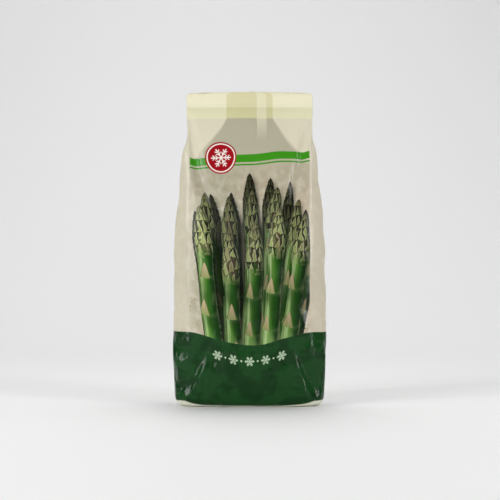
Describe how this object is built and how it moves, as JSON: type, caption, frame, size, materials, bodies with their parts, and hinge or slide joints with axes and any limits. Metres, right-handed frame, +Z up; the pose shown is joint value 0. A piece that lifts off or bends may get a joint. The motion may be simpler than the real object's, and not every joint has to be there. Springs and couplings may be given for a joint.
{
  "type": "sealed gusseted bag of frozen asparagus",
  "caption": "Upright sealed film bag with folded side gussets, a flat seal across the top and a fin seam down the back, filled with loose frozen asparagus spears",
  "frame": {"origin": "centre of the base, on the surface that the bag stands on", "axes": "+Z up towards the top seal, -Y out of the printed front panel, +X to the right as seen from the front"},
  "size_m": [0.1376, 0.0608, 0.282],
  "materials": {
    "film": "satin",
    "asparagus": "matte"
  },
  "bodies": {
    "root": {"film_bag": "film", "spear_01": "asparagus", "spear_02": "asparagus", "spear_03": "asparagus", "spear_04": "asparagus", "spear_05": "asparagus", "spear_06": "asparagus", "spear_07": "asparagus", "spear_08": "asparagus", "spear_09": "asparagus", "spear_10": "asparagus", "spear_11": "asparagus", "spear_12": "asparagus", "spear_13": "asparagus", "spear_14": "asparagus", "spear_15": "asparagus", "spear_16": "asparagus", "spear_17": "asparagus", "spear_18": "asparagus", "spear_19": "asparagus"}
  },
  "joints": []
}
